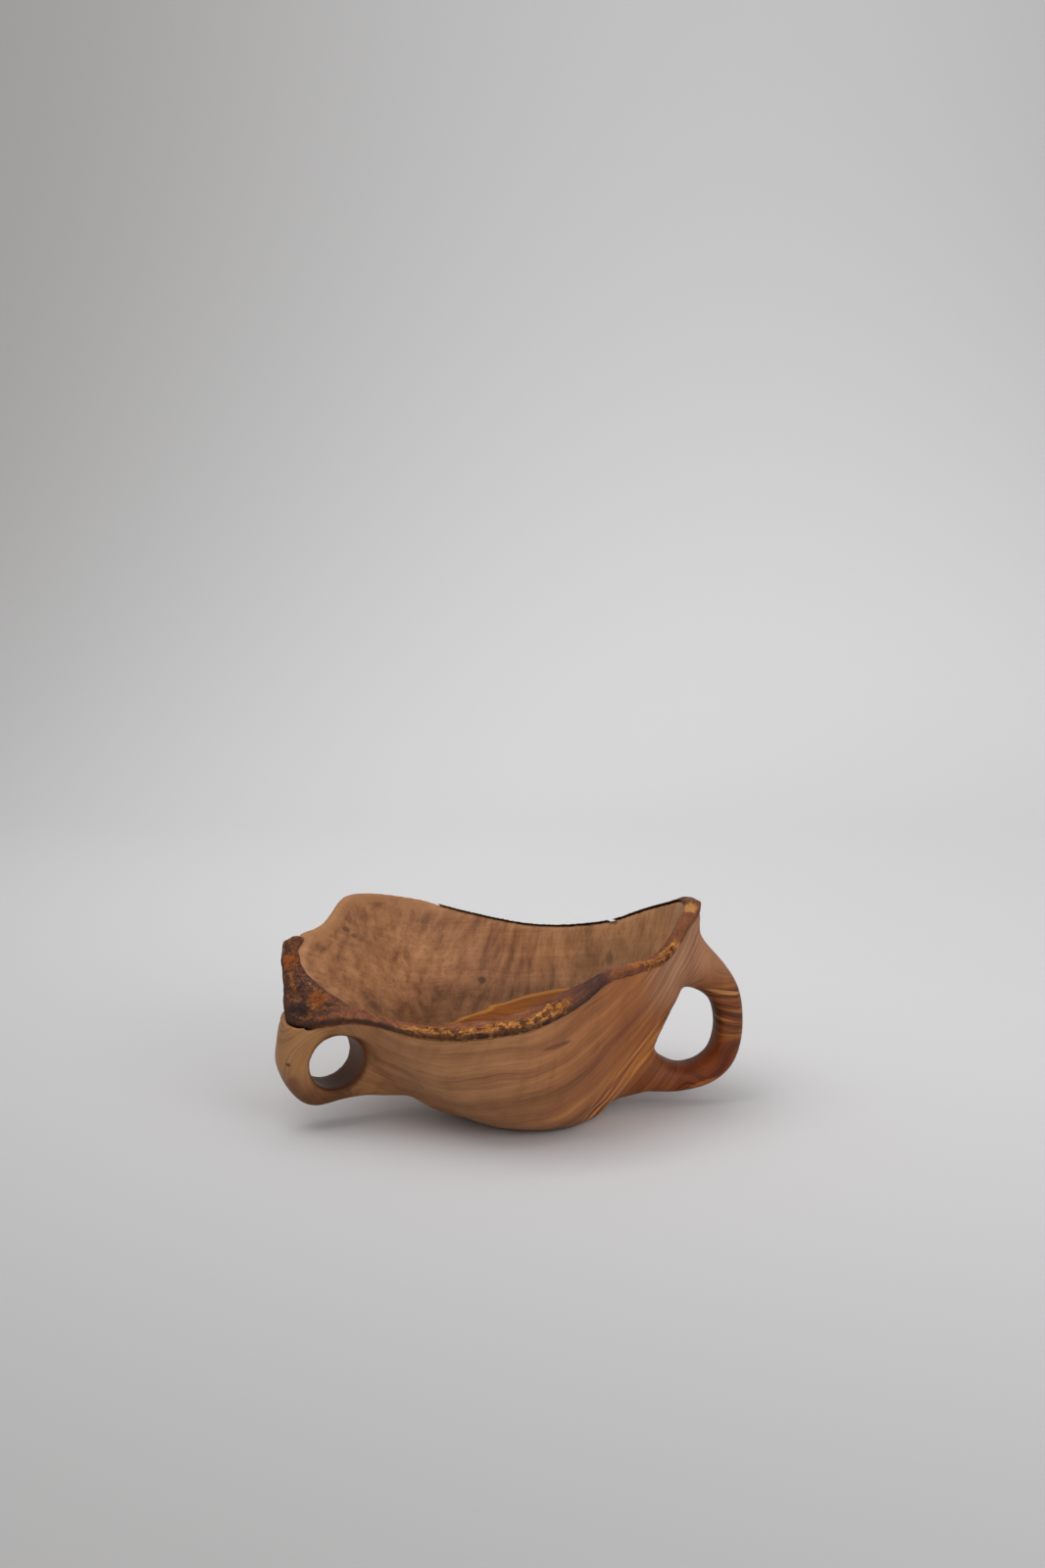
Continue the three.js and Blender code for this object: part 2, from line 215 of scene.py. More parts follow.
def copy_of_solid(node, name):
    """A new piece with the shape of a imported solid, its loose triangles joined up into faces."""
    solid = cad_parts[node]
    piece = bpy.data.objects.new(name, solid.data.copy())
    piece.data.name = name
    bpy.context.scene.collection.objects.link(piece)
    piece.data.materials.clear()
    take_up(piece)
    bpy.ops.mesh.customdata_custom_splitnormals_clear()
    bpy.ops.object.mode_set(mode="EDIT")
    bpy.ops.mesh.select_all(action="SELECT")
    bpy.ops.mesh.remove_doubles(threshold=JOINED_WITHIN)
    bpy.ops.mesh.tris_convert_to_quads(
        face_threshold=math.radians(JOINED_BEND),
        shape_threshold=math.radians(JOINED_SKEW),
    )
    bpy.ops.object.mode_set(mode="OBJECT")
    return piece


def points_of(piece):
    flat = np.empty(len(piece.data.vertices) * 3)
    piece.data.vertices.foreach_get("co", flat)
    return flat.reshape(-1, 3)


def normals_of(piece):
    flat = np.empty(len(piece.data.vertices) * 3)
    piece.data.vertices.foreach_get("normal", flat)
    return flat.reshape(-1, 3)


def edges_of(piece):
    flat = np.empty(len(piece.data.edges) * 2, dtype=np.int64)
    piece.data.edges.foreach_get("vertices", flat)
    return flat.reshape(-1, 2)


def keep_value(piece, name, values):
    """Stores one number for each point of a piece, for its finish to read."""
    layer = piece.data.attributes.new(name, "FLOAT", "POINT")
    layer.data.foreach_set("value", np.ascontiguousarray(values, dtype=np.float32))


def weight(piece, name, values):
    """Stores how strongly a modifier works at each point of a piece."""
    group = piece.vertex_groups.new(name=name)
    for index in np.nonzero(values > 0)[0]:
        group.add([int(index)], float(values[index]), "REPLACE")


def bearing_and_reach(points):
    """Bearing round the hollow in degrees, counted on from the bare rim, and distance from its middle."""
    bearing = np.degrees(np.arctan2(points[:, 1] - HOLLOW_Y, points[:, 0] - HOLLOW_X))
    bearing = (bearing - BARK_START) % 360 + BARK_START
    reach = np.hypot(points[:, 0] - HOLLOW_X, points[:, 1] - HOLLOW_Y)
    return bearing, reach


def by_bearing(bearing, rows):
    return np.interp(bearing, *np.array(rows).T)


def evened(values, edges, passes):
    """Numbers on the points of a piece, each mixed with its neighbours' a few times."""
    count = np.bincount(edges.ravel(), minlength=len(values))
    for _ in range(passes):
        total = np.bincount(edges[:, 0], values[edges[:, 1]], len(values))
        total += np.bincount(edges[:, 1], values[edges[:, 0]], len(values))
        values = 0.5 * values + 0.5 * total / np.maximum(count, 1)
    return values


def even_grid(piece, size):
    grid = piece.modifiers.new("grid", "REMESH")
    grid.mode = "VOXEL"
    grid.voxel_size = size


def soften(piece, name, passes, group=""):
    smooth = piece.modifiers.new(name, "SMOOTH")
    smooth.factor = 0.5
    smooth.iterations = passes
    smooth.vertex_group = group


def push_out(piece, name, strength, middle=0.0, texture=None, group="", direction="NORMAL"):
    push = piece.modifiers.new(name, "DISPLACE")
    push.strength = strength
    push.mid_level = middle
    push.direction = direction
    push.vertex_group = group
    if texture:
        push.texture = texture
        push.texture_coords = "LOCAL"


def ease_out(piece, places):
    """Moves wood or bark a little at the places listed, fading out round them and above the foot."""
    points = points_of(piece)
    above_foot = np.clip(points[:, 2] / CLEAR_OF_FOOT, 0, 1)
    for name, centre, reach, shift in places:
        away = np.linalg.norm(points - np.array(centre) * MM, axis=1) / (reach * MM)
        weight(piece, name, above_foot * np.clip(1 - away ** 2, 0, 1) ** 2)
        for direction, step in zip("XYZ", shift):
            if step:
                push_out(piece, name + direction, step * MM, group=name, direction=direction)
    finish_modifiers(piece)


# The carved wood: foot, wall, hollow and both ring handles

def carve_bowl():
    piece = copy_of_solid("bowl_body", "carved_bowl")
    rounding = piece.modifiers.new("rounding", "SUBSURF")
    rounding.levels = 1
    rounding.render_levels = 1
    even_grid(piece, WOOD_GRID)
    finish_modifiers(piece)
    soften(piece, "sanding", SANDING)
    points = points_of(piece)
    for name, centre, reach, passes in SANDED:
        away = np.linalg.norm(points - np.array(centre) * MM, axis=1)
        weight(piece, name, np.clip(SANDED_OUT - away / (reach * MM), 0, 1))
        soften(piece, name, passes, name)
    finish_modifiers(piece)
    ease_out(piece, EASED + WOOD_EASED)
    bpy.ops.object.shade_smooth()
    return piece


def mark_hollow(piece):
    """Marks the inside of the bowl, all that is reached from the floor without passing the lip,
    and the cut edge of the bare rim."""
    points = points_of(piece)
    edges = edges_of(piece)
    normals = normals_of(piece)
    bearing, reach = bearing_and_reach(points)
    slot = bearing.astype(int) % 360
    top = np.full(360, -1.0)
    np.maximum.at(top, slot, points[:, 2])
    low = points[:, 2] < top[slot] - LIP_DEPTH
    inside = (reach < FLOOR_REACH) & (normals[:, 2] > FACES_UP)
    open_edges = edges[low[edges].all(axis=1)]
    while True:
        wet = inside[open_edges]
        spread = open_edges[wet[:, 0] != wet[:, 1]]
        if not len(spread):
            break
        inside[spread.ravel()] = True
    turn = np.radians(bearing)
    inward = -normals[:, 0] * np.cos(turn) - normals[:, 1] * np.sin(turn)
    inside |= ~low & (inward > FACES_IN)
    keep_value(piece, "hollow", evened(inside.astype(float), edges, HOLLOW_EVENED))
    bare_start, bare_end = BARE_RIM
    bare = (bearing % 360 > bare_start) & (bearing % 360 < bare_end) & ~low
    keep_value(piece, "cut_edge", evened(bare.astype(float), edges, CUT_EVENED))


def mark_bark_distance(piece, barks):
    """Keeps how far each point of the wood is from the bark, up to a limit."""
    points = points_of(piece)
    nearest = np.full(len(points), NEAR_BARK)
    for bark in barks:
        tree = BVHTree.FromObject(bark, bpy.context.evaluated_depsgraph_get())
        low = points_of(bark).min(axis=0) - NEAR_BARK
        high = points_of(bark).max(axis=0) + NEAR_BARK
        around = np.nonzero(((points > low) & (points < high)).all(axis=1))[0]
        for index in around:
            *_, distance = tree.find_nearest(Vector(points[index]), float(nearest[index]))
            if distance is not None:
                nearest[index] = min(nearest[index], distance)
    keep_value(piece, "from_bark", nearest)


# Bark left along the natural edge

def rough_texture(name, kind, size, **settings):
    texture = bpy.data.textures.new(name, kind)
    texture.noise_scale = size
    for key, value in settings.items():
        setattr(texture, key, value)
    return texture


def mark_band(ring):
    """Keeps where each point of the bark lies: its bearing, and across from 0 outside to 1 inside."""
    edges = np.concatenate([points_of(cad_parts[node]) for node, *_ in STRETCHES])
    edge_bearing, edge_reach = bearing_and_reach(edges)
    bearing, reach = bearing_and_reach(points_of(ring))
    stations = np.unique(np.round(edge_bearing, 1))
    beside = [np.abs(edge_bearing - station) < STATION_SEARCH for station in stations]
    outer = np.array([edge_reach[close].max() for close in beside])
    inner = np.array([edge_reach[close].min() for close in beside])
    far = np.interp(bearing, stations, outer)
    near = np.interp(bearing, stations, inner)
    across = np.clip((far - reach) / np.maximum(far - near, MM), 0, 1)
    keep_value(ring, "across", across)
    keep_value(ring, "bearing", bearing)
    return bearing, across


def weigh_bark(ring):
    """Stores where the bark is worn, lumpy, crumbly and thin."""
    bearing, across = mark_band(ring)
    weight(ring, "ear", np.clip((EAR_END - bearing) / EAR_WEAR_FADE, 0, 1))
    off_outer_edge = np.clip(across / 0.18, 0.15, 1)
    off_inner_edge = np.clip((1 - across) / 0.12, 0.2, 1)
    lumpy = by_bearing(bearing, ROUGHNESS) * off_outer_edge * off_inner_edge
    outer_half = np.clip(1.25 - 1.5 * across, 0.2, 1)
    weight(ring, "lumpy", lumpy)
    weight(ring, "crumbly", lumpy * np.maximum(outer_half, bearing < EAR_CRUMBLY))
    upward = np.clip(2 * normals_of(ring)[:, 2], 0, 1)
    weight(ring, "thin", upward * by_bearing(bearing, THINNED))


def grow_bark():
    """All the bark as one rough strip round the rim: crumbly outside, skin-like towards the hollow."""
    copies = [copy_of_solid(node, node + "_copy") for node, *_ in STRETCHES]
    for strip in copies:
        push_out(strip, "closing", CLOSING)
        finish_modifiers(strip)
    ring = copies[0]
    take_up(ring)
    for strip in copies:
        strip.select_set(True)
    bpy.ops.object.join()
    even_grid(ring, BARK_GRID)
    soften(ring, "rounding", 3)
    finish_modifiers(ring)
    weigh_bark(ring)
    soften(ring, "worn_ear", 30, "ear")
    push_out(ring, "thinning", -THINNING, group="thin")
    lumps = rough_texture("lumps", "CLOUDS", 9 * MM, noise_depth=2)
    push_out(ring, "lumps", 2.2 * MM, 0.5, lumps, "lumpy")
    ridges = rough_texture("ridges", "MUSGRAVE", 5 * MM, musgrave_type="RIDGED_MULTIFRACTAL", octaves=3.0)
    ridges.noise_intensity = 0.6
    push_out(ring, "ridges", -0.9 * MM, 0.4, ridges, "crumbly")
    grit = rough_texture("grit", "CLOUDS", 1.6 * MM, noise_depth=3)
    push_out(ring, "grit", 0.6 * MM, 0.5, grit, "crumbly")
    finish_modifiers(ring)
    ease_out(ring, EASED)
    return ring


def cut_stretch(ring, node, start, end, start_askew, end_askew):
    """One stretch of the bark, cut from the whole at each end."""
    piece = ring.copy()
    piece.data = ring.data.copy()
    piece.name = node + "_strip"
    piece.data.name = piece.name
    bpy.context.scene.collection.objects.link(piece)
    take_up(piece)
    bearing, reach = bearing_and_reach(points_of(piece))
    beyond = (bearing < start - SPARE_TURN) | (bearing > end + SPARE_TURN)
    piece.data.vertices.foreach_set("select", beyond)
    piece.data.edges.foreach_set("select", np.zeros(len(piece.data.edges), dtype=bool))
    piece.data.polygons.foreach_set("select", np.zeros(len(piece.data.polygons), dtype=bool))
    bpy.ops.object.mode_set(mode="EDIT")
    bpy.ops.mesh.select_mode(type="VERT")
    bpy.ops.mesh.delete(type="VERT")
    for limit, askew, side in ((start, start_askew, 1), (end, end_askew, -1)):
        inner = reach[np.abs(bearing - limit) < CUT_SEARCH].min(initial=PAST_RIM)
        turn = math.radians(limit)
        across_cut = math.radians(limit + askew)
        bpy.ops.mesh.select_all(action="SELECT")
        bpy.ops.mesh.bisect(
            plane_co=(HOLLOW_X + inner * math.cos(turn), HOLLOW_Y + inner * math.sin(turn), 0),
            plane_no=(-side * math.sin(across_cut), side * math.cos(across_cut), 0),
            use_fill=True,
            clear_inner=True,
        )
    bpy.ops.object.mode_set(mode="OBJECT")
    bpy.ops.object.shade_smooth()
    return piece


# Colours

def dye(red, green, blue):
    """A colour as it looks on the wood, in 0 to 255 steps, as the shader counts it."""
    def straight(step):
        share = step / 255
        return share / 12.92 if share <= 0.04045 else ((share + 0.055) / 1.055) ** 2.4
    return (straight(red), straight(green), straight(blue), 1.0)


# The wood, from dark layers to light ones
INSIDE_TONE = (
    (0.32, dye(148, 102, 70)),
    (0.48, dye(178, 125, 84)),
    (0.64, dye(199, 144, 100)),
)
LEFT_TONE = (
    (0.30, dye(146, 99, 63)),
    (0.48, dye(167, 116, 76)),
    (0.66, dye(184, 132, 88)),
)
RIGHT_TONE = (
    (0.34, dye(109, 60, 29)),
    (0.45, dye(147, 85, 43)),
    (0.55, dye(166, 100, 51)),
    (0.66, dye(190, 121, 64)),
)
NECK_TONE = (
    (0.32, dye(156, 109, 79)),
    (0.50, dye(173, 124, 91)),
    (0.68, dye(196, 148, 113)),
)
HANDLE_TONE = (
    (0.32, dye(90, 46, 20)),
    (0.50, dye(120, 66, 30)),
    (0.68, dye(148, 88, 42)),
)
STRIPED_TONE = (
    (0.36, dye(98, 50, 25)),
    (0.48, dye(120, 66, 34)),
    (0.58, dye(150, 89, 45)),
    (0.70, dye(204, 142, 80)),
)
SAP_TONE = (
    (0.34, dye(126, 66, 8)),
    (0.52, dye(146, 79, 5)),
    (0.68, dye(176, 106, 22)),
)
TURN_TONE = (
    (0.36, dye(104, 58, 32)),
    (0.48, dye(164, 96, 48)),
    (0.60, dye(220, 150, 78)),
)

# Darkening that figure and grain bring, from the darkest marks to none
STANDING_MARKS = (
    (0.34, dye(168, 152, 140)),
    (0.50, dye(250, 248, 246)),
)
CURL_MARKS = (
    (0.32, dye(194, 178, 168)),
    (0.50, dye(238, 233, 230)),
    (0.66, dye(255, 254, 252)),
)
LINE_MARKS = (
    (0.32, dye(170, 150, 136)),
    (0.46, dye(242, 238, 234)),
    (0.56, dye(255, 255, 255)),
)
FIBRE_MARKS = (
    (0.30, dye(150, 130, 116)),
    (0.48, dye(240, 236, 232)),
    (0.60, dye(255, 255, 255)),
)
SKIN_MARKS = (
    (0.28, dye(150, 130, 122)),
    (0.52, dye(240, 236, 232)),
    (0.74, dye(255, 255, 255)),
)

# Single marks in the wood, such as a knot, nicks, streaks and spots, and one painted highlight: place and
# half sizes in millimetres, turn, strength and stain
MARKS = (
    ((-39.6, 95, 75.4), (5, 14, 4), 20, 0.65, dye(66, 42, 32)),
    ((-140, 44.6, 128), (5, 9, 2.6), 35, 0.7, dye(84, 52, 38)),
    ((-134.5, 47.5, 122.2), (4, 9, 2), 35, 0.6, dye(84, 52, 38)),
    ((58, 86, 95), (5, 14, 8), 0, 0.5, dye(76, 52, 40)),
    ((14, -87, 78), (20, 16, 2.8), -10, 0.65, dye(92, 50, 30)),
    ((140, 13, 88), (24, 20, 2.6), 10, 0.5, dye(222, 158, 92)),
    # a light orange streak along the lower edge of the right handle, a painted highlight
    ((126, 10, 19), (20, 16, 4), -18, 0.4, dye(198, 124, 60)),
    ((58, 95, 121.5), (10, 16, 3.2), 0, 0.75, dye(52, 35, 28)),
    ((-172, -47, 34), (9, 16, 18), 10, 0.6, dye(108, 62, 38)),
    ((-174.4, -50, 53), (3.2, 10, 2.2), 0, 0.8, dye(70, 40, 26)),
)

# Skin of the bark by bearing round the rim: rough and dark on the ear, red-brown along the front,
# plum where the front rises, red again to the peak, and a dark line along the back
SKIN = (
    (174, dye(136, 76, 44)),
    (181, dye(108, 60, 37)),
    (188, dye(102, 54, 33)),
    (200, dye(98, 53, 33)),
    (208, dye(134, 77, 44)),
    (216, dye(148, 87, 48)),
    (250, dye(141, 81, 43)),
    (297, dye(131, 75, 42)),
    (307, dye(100, 58, 43)),
    (314, dye(82, 49, 41)),
    (319, dye(94, 55, 42)),
    (324, dye(140, 80, 45)),
    (350, dye(134, 77, 45)),
    (368, dye(128, 76, 46)),
    (378, dye(88, 56, 40)),
    (400, dye(68, 46, 35)),
    (455, dye(70, 47, 36)),
    (464, dye(116, 78, 54)),
    (471, dye(150, 104, 72)),
)

# Crumbs of inner bark, and where they show: bearings from and to, how far the ends fade, and how
# much shows
CRUMB_TONE = (
    (0.34, dye(48, 28, 20)),
    (0.44, dye(104, 58, 28)),
    (0.54, dye(164, 100, 42)),
    (0.68, dye(214, 156, 82)),
)
CRUMBLED = (
    (182, 203, 5, 0.55),
    (238, 299, 6, 1.0),
    (341, 352, 4, 1.0),
)

# Single patches on the bark: place and half sizes in millimetres, strength and stain
PATCHES = (
    ((-176, -9, 117), (9, 12, 11), 0.85, dye(140, 70, 10)),
    ((-154, -36, 98), (12, 12, 7), 0.85, dye(140, 70, 10)),
    ((-167, -40, 90), (15, 12, 8), 0.75, dye(28, 20, 18)),
    ((68, -38, 124), (12, 12, 8), 0.8, dye(178, 102, 38)),
    ((114, 20, 151), (8, 10, 8), 0.8, dye(195, 136, 73)),
)

# Paper at its palest and where it lies in shade
PALE_PAPER = dye(226, 225, 226)
SHADED_PAPER = dye(166, 165, 164)


# Putting a finish together

def new_finish(name):
    finish = bpy.data.materials.new(name)
    finish.use_nodes = True
    return finish, finish.node_tree, finish.node_tree.nodes["Principled BSDF"]


def new_group(name, inputs, outputs):
    """A named effect for finishes to use, with its inputs and outputs and the kind of each."""
    group = bpy.data.node_groups.new(name, "ShaderNodeTree")
    for socket, kind in inputs:
        group.interface.new_socket(socket, in_out="INPUT", socket_type=kind)
    for socket, kind in outputs:
        group.interface.new_socket(socket, in_out="OUTPUT", socket_type=kind)
    given = group.nodes.new("NodeGroupInput")
    out = group.nodes.new("NodeGroupOutput")
    return group, given.outputs, out.inputs


def placed_group(tree, group):
    node = tree.nodes.new("ShaderNodeGroup")
    node.node_tree = group
    return node


def feed(tree, socket, value):
    if isinstance(value, bpy.types.NodeSocket):
        tree.links.new(value, socket)
    else:
        socket.default_value = value


def stored(tree, name):
    node = tree.nodes.new("ShaderNodeAttribute")
    node.attribute_name = name
    return node.outputs["Fac"]


def own_place(tree):
    return tree.nodes.new("ShaderNodeTexCoord").outputs["Object"]


def axes_of(tree, place):
    node = tree.nodes.new("ShaderNodeSeparateXYZ")
    tree.links.new(place, node.inputs[0])
    return node.outputs


def vector_of(tree, x, y, z):
    node = tree.nodes.new("ShaderNodeCombineXYZ")
    for socket, value in zip(node.inputs, (x, y, z)):
        feed(tree, socket, value)
    return node.outputs[0]


def length_of(tree, vector):
    node = tree.nodes.new("ShaderNodeVectorMath")
    node.operation = "LENGTH"
    tree.links.new(vector, node.inputs[0])
    return node.outputs["Value"]


def reckon(tree, operation, first, second=0.0, third=0.0):
    node = tree.nodes.new("ShaderNodeMath")
    node.operation = operation
    for socket, value in zip(node.inputs, (first, second, third)):
        feed(tree, socket, value)
    return node.outputs[0]


def product(tree, *values):
    total = values[0]
    for value in values[1:]:
        total = reckon(tree, "MULTIPLY", total, value)
    return total


def swing(tree, value):
    """A pattern counted from its middle, so that it goes both ways."""
    return reckon(tree, "SUBTRACT", value, 0.5)


def ramped(tree, value, start, end, low=0.0, high=1.0, run="SMOOTHSTEP"):
    """A soft step: low before start, high after end."""
    node = tree.nodes.new("ShaderNodeMapRange")
    node.interpolation_type = run
    for socket, given in zip(node.inputs, (value, start, end, low, high)):
        feed(tree, socket, given)
    return node.outputs[0]


def between(tree, share, first, second):
    node = tree.nodes.new("ShaderNodeMix")
    feed(tree, node.inputs[0], share)
    feed(tree, node.inputs[2], first)
    feed(tree, node.inputs[3], second)
    return node.outputs[0]


def tinted(tree, share, base, over, blend="MIX"):
    node = tree.nodes.new("ShaderNodeMix")
    node.data_type = "RGBA"
    node.blend_type = blend
    feed(tree, node.inputs[0], share)
    feed(tree, node.inputs[6], base)
    feed(tree, node.inputs[7], over)
    return node.outputs[2]


def shaded(tree, value, stops):
    node = tree.nodes.new("ShaderNodeValToRGB")
    feed(tree, node.inputs[0], value)
    ramp = node.color_ramp
    while len(ramp.elements) < len(stops):
        ramp.elements.new(0.5)
    for element, (position, colour) in zip(ramp.elements, stops):
        element.position = position
        element.color = colour
    return node.outputs[0]


def mottle(tree, place, scale, detail=2.0, roughness=0.5, distortion=0.0):
    node = tree.nodes.new("ShaderNodeTexNoise")
    feed(tree, node.inputs["Vector"], place)
    node.inputs["Scale"].default_value = scale
    node.inputs["Detail"].default_value = detail
    node.inputs["Roughness"].default_value = roughness
    node.inputs["Distortion"].default_value = distortion
    return node.outputs["Fac"]


def drawn_out(tree, x, y, layer, length, thickness):
    """Places along the grain, for marks of a given length and thickness in millimetres."""
    return vector_of(
        tree,
        reckon(tree, "DIVIDE", x, length * MM),
        reckon(tree, "DIVIDE", y, length * MM),
        reckon(tree, "DIVIDE", layer, thickness * MM),
    )


def set_out(tree, place, centre, turn, size=(1, 1, 1)):
    """Places counted from a centre in millimetres, turned by degrees and in steps of a size."""
    node = tree.nodes.new("ShaderNodeMapping")
    node.vector_type = "TEXTURE"
    feed(tree, node.inputs["Vector"], place)
    node.inputs["Location"].default_value = [v * MM for v in centre]
    node.inputs["Rotation"].default_value = [math.radians(angle) for angle in turn]
    node.inputs["Scale"].default_value = size
    return node.outputs[0]


def near_point(tree, place, centre, size, turn=0.0):
    """A soft spot: 1 at a centre in millimetres, 0 past its half sizes."""
    steps = set_out(tree, place, centre, (0, turn, 0), [v * MM for v in size])
    return ramped(tree, length_of(tree, steps), 1.0, 0.0)


def from_axis(tree, place, centre, yaw, squash=1.0):
    """Distance from the axis of a finger hole, which lies level and is turned from the back by its yaw."""
    side, _, up = axes_of(tree, set_out(tree, place, centre, (0, 0, yaw)))
    return length_of(tree, vector_of(tree, side, 0.0, reckon(tree, "MULTIPLY", up, squash)))


def relief(tree, shader, height, strength, depth):
    node = tree.nodes.new("ShaderNodeBump")
    node.inputs["Strength"].default_value = strength
    node.inputs["Distance"].default_value = depth
    tree.links.new(height, node.inputs["Height"])
    tree.links.new(node.outputs[0], shader.inputs["Normal"])


# Grain, which wood and bark share. Places in the finishes are in metres

GRAIN = ("Bands", "Lines", "Fibre", "Pores", "Figure", "Upright")


def growth_layers():
    """Growth layers of the burl: they rise to the right outside and curl round the finger holes."""
    inputs = (("Place", "NodeSocketVector"), ("Inside", "NodeSocketFloat"))
    outputs = [(name, "NodeSocketFloat") for name in GRAIN]
    group, given, out = new_group("growth_layers", inputs, outputs)
    place = given["Place"]
    x, y, z = axes_of(group, place)
    run = reckon(group, "MAXIMUM", reckon(group, "ADD", x, 0.085), 0.0)
    steep = reckon(group, "MULTIPLY_ADD", given["Inside"], -12.5, 15.0)
    layer = reckon(group, "SUBTRACT", z, product(group, run, run, run, steep))
    layer = reckon(group, "SUBTRACT", layer, ramped(group, x, -0.085, -0.19, 0.0, 0.05))
    layer = reckon(group, "MULTIPLY_ADD", y, 0.1, layer)

    # round the left finger hole, and up the right handle
    ring = from_axis(group, place, LEFT_HOLE, LEFT_YAW)
    at_left = product(group, ramped(group, x, -0.116, -0.142), ramped(group, z, 0.1, 0.085), 0.85)
    layer = between(group, at_left, layer, ring)
    loop = reckon(group, "SUBTRACT", -0.048, from_axis(group, place, RIGHT_HOLE, RIGHT_YAW, 0.8))
    bar = between(group, ramped(group, z, 0.034, 0.06), loop, reckon(group, "SUBTRACT", z, 0.125))
    at_right = product(group, ramped(group, x, 0.1, 0.128), ramped(group, z, 0.115, 0.095))
    layer = between(group, at_right, layer, bar)

    # layers are never quite even
    broad = swing(group, mottle(group, place, 10.0))
    waver = swing(group, mottle(group, place, 38.0))
    layer = reckon(group, "MULTIPLY_ADD", broad, 0.022, layer)
    layer = reckon(group, "MULTIPLY_ADD", waver, 0.003, layer)

    # what shows of the layers, from broad bands to pores, and figure that stands across them inside
    lean = reckon(group, "SUBTRACT", x, product(group, z, ramped(group, x, 0.04, -0.05, 0.0, 0.6)))
    shown = {
        "Bands": mottle(group, drawn_out(group, x, y, layer, 260, 15), 1.0, 3.0, 0.55),
        "Lines": mottle(group, drawn_out(group, x, y, layer, 90, 3.0), 1.0, 3.0, 0.6),
        "Fibre": mottle(group, drawn_out(group, x, y, layer, 26, 0.8), 1.0, 3.0, 0.6),
        "Pores": mottle(group, drawn_out(group, x, y, layer, 7, 0.6), 1.0, 1.0, 0.5),
        "Figure": mottle(group, drawn_out(group, lean, y, z, 12, 62), 1.0, 4.0, 0.55, 0.25),
        "Upright": mottle(group, drawn_out(group, lean, y, z, 2.4, 36), 1.0, 3.0, 0.6),
    }
    for name in GRAIN:
        group.links.new(shown[name], out[name])
    return group


# The finish of the wood, one effect over another

def wood_inputs(tree, layers):
    """What the colour of the wood is worked out from."""
    wood = SimpleNamespace()
    wood.place = own_place(tree)
    wood.x, wood.y, wood.z = axes_of(tree, wood.place)
    wood.hollow = stored(tree, "hollow")
    wood.outside = reckon(tree, "SUBTRACT", 1.0, wood.hollow)
    wood.right_hollow = product(tree, ramped(tree, wood.x, -0.01, 0.07), wood.hollow)
    grain = placed_group(tree, layers)
    tree.links.new(wood.place, grain.inputs["Place"])
    tree.links.new(wood.hollow, grain.inputs["Inside"])
    for name in GRAIN:
        setattr(wood, name.lower(), grain.outputs[name])
    return wood


def main_tones(tree, wood):
    """Even tan-brown inside and at the left, striped red-brown at the right end."""
    x, z = wood.x, wood.z
    left_tone = shaded(tree, wood.bands, LEFT_TONE)
    right_tone = shaded(tree, wood.bands, RIGHT_TONE)
    outside_tone = tinted(tree, ramped(tree, x, -0.03, 0.08), left_tone, right_tone)
    outer_neck = product(tree, ramped(tree, x, 0.112, 0.13), 0.8)
    neck_tone = tinted(tree, outer_neck, shaded(tree, wood.lines, NECK_TONE), dye(163, 110, 75))
    at_neck = product(tree, ramped(tree, x, 0.068, 0.1), ramped(tree, z, 0.07, 0.1))
    outside_tone = tinted(tree, at_neck, outside_tone, neck_tone)

    # the left handle: lighter at the top and in the shade of the bowl below
    on_plate = product(tree, ramped(tree, x, -0.115, -0.14), wood.outside)
    outside_tone = tinted(tree, product(tree, on_plate, 0.6), outside_tone, dye(161, 118, 74))
    low_plate = product(tree, on_plate, ramped(tree, z, 0.052, 0.022), 0.9)
    outside_tone = tinted(tree, low_plate, outside_tone, dye(150, 123, 93), "MULTIPLY")

    # the right handle: smooth red-brown, with orange and dark stripes across the middle of the bar
    on_bar = product(tree, ramped(tree, x, 0.1, 0.13), ramped(tree, z, 0.112, 0.09))
    at_foot = product(tree, ramped(tree, x, 0.085, 0.11), ramped(tree, z, 0.05, 0.035))
    at_handle = reckon(tree, "MAXIMUM", on_bar, at_foot)
    handle_tone = shaded(tree, wood.lines, HANDLE_TONE)
    striped = product(tree, ramped(tree, z, 0.052, 0.062), ramped(tree, z, 0.096, 0.088))
    handle_tone = tinted(tree, striped, handle_tone, shaded(tree, wood.lines, STRIPED_TONE))
    low_handle = product(tree, ramped(tree, z, 0.06, 0.035), 0.85)
    handle_tone = tinted(tree, low_handle, handle_tone, dye(236, 186, 112), "MULTIPLY")
    outside_tone = tinted(tree, at_handle, outside_tone, handle_tone)

    inside_tone = shaded(tree, between(tree, 0.55, wood.bands, wood.figure), INSIDE_TONE)
    return tinted(tree, wood.hollow, outside_tone, inside_tone)


